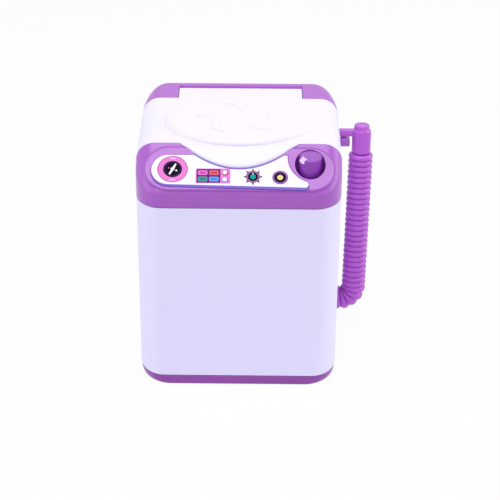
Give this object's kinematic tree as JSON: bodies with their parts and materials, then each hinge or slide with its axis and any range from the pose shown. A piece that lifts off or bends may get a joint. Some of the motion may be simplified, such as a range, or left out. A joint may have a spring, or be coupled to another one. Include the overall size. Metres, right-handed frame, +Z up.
{
  "type": "toy washing machine",
  "caption": "Small top-loading toy washing machine with a hinged lid, sloped control panel with a rotary switch, geared spin basket and a ribbed drain hose clipped to its side.",
  "frame": {"origin": "centre of the bounding box of the whole object, hose included, at the floor", "axes": "+Z up, -Y the front with the control panel, +X the side with the drain hose"},
  "size_m": [0.1367, 0.105, 0.1494],
  "materials": {
    "shell_white": "smooth moulded plastic with a soft gloss",
    "panel_purple": "glossy moulded plastic",
    "base_purple": "glossy moulded plastic",
    "knob_purple": "glossy moulded plastic",
    "hose_purple": "satin flexible plastic",
    "label_film": "printed film",
    "inner_white": "satin moulded plastic",
    "gear_ivory": "satin moulded plastic",
    "switch_black": "matt moulded plastic",
    "steel": "plated",
    "brass": "turned",
    "seal_rubber": "soft matt",
    "cell_sleeve": "printed sleeve",
    "wire_red": "insulated",
    "wire_yellow": "insulated",
    "wire_black": "insulated"
  },
  "bodies": {
    "housing": {"base_tray": "base_purple", "battery_door": "base_purple", "cabinet": "shell_white", "control_fascia": "panel_purple", "control_label": "label_film", "switch_body": "switch_black", "rear_frame": "panel_purple", "wash_tub": "inner_white", "shaft_bush_upper": "brass", "shaft_bush_lower": "brass", "shaft_seal": "seal_rubber", "gear_plate": "gear_ivory", "motor_can": "steel", "motor_end_cap": "inner_white", "drain_pipe": "inner_white", "outlet_spigot": "base_purple", "hose_holder": "base_purple", "battery_cell_front": "cell_sleeve", "battery_cell_rear": "cell_sleeve", "contact_bridge": "steel", "contact_tab_front": "steel", "contact_tab_rear": "steel", "contact_spring_left": "steel", "contact_spring_right": "steel", "wire_cell_to_switch": "wire_red", "wire_switch_to_motor": "wire_yellow", "wire_cell_to_motor": "wire_black", "battery_door_screw": "steel", "base_screw_1": "steel", "base_screw_2": "steel", "base_screw_3": "steel", "base_screw_4": "steel", "fascia_screw_left": "steel", "fascia_screw_right": "steel", "frame_screw_left": "steel", "frame_screw_right": "steel", "plate_screw_left": "steel", "plate_screw_right": "steel"},
    "lid": {"lid": "shell_white"},
    "knob": {"control_knob": "knob_purple"},
    "drum": {"spin_basket": "inner_white", "pulsator": "panel_purple", "drive_shaft": "steel", "drive_gear": "gear_ivory"},
    "rotor": {"motor_shaft": "steel", "motor_pinion": "gear_ivory"},
    "hose": {"drain_hose": "hose_purple", "hose_nozzle": "hose_purple"}
  },
  "joints": [
    {"name": "lid_hinge", "type": "hinge", "parent": "housing", "child": "lid", "pos_m": [-0.01085, 0.0422, 0.14534], "axis": [-1, 0, 0], "range_deg": [0, 98]},
    {"name": "knob_turn", "type": "hinge", "parent": "housing", "child": "knob", "pos_m": [0.02855, -0.0384, 0.13171], "axis": [0, 0.1392, -0.9903], "range_deg": [0, 90]},
    {"name": "drum_spin", "type": "hinge", "parent": "housing", "child": "drum", "pos_m": [-0.01085, 0.009, 0.05], "axis": [0, 0, 1], "continuous": true},
    {"name": "rotor_spin", "type": "hinge", "parent": "housing", "child": "rotor", "pos_m": [-0.01085, 0.024, 0.03], "axis": [0, 0, 1], "continuous": true},
    {"name": "hose_swing", "type": "hinge", "parent": "housing", "child": "hose", "pos_m": [0.04665, 0.027, 0.0183], "axis": [-1, 0, 0], "range_deg": [0, 90]}
  ],
  "couplings": [
    {"joint": "rotor_spin", "follows": "drum_spin", "ratio": -4}
  ]
}
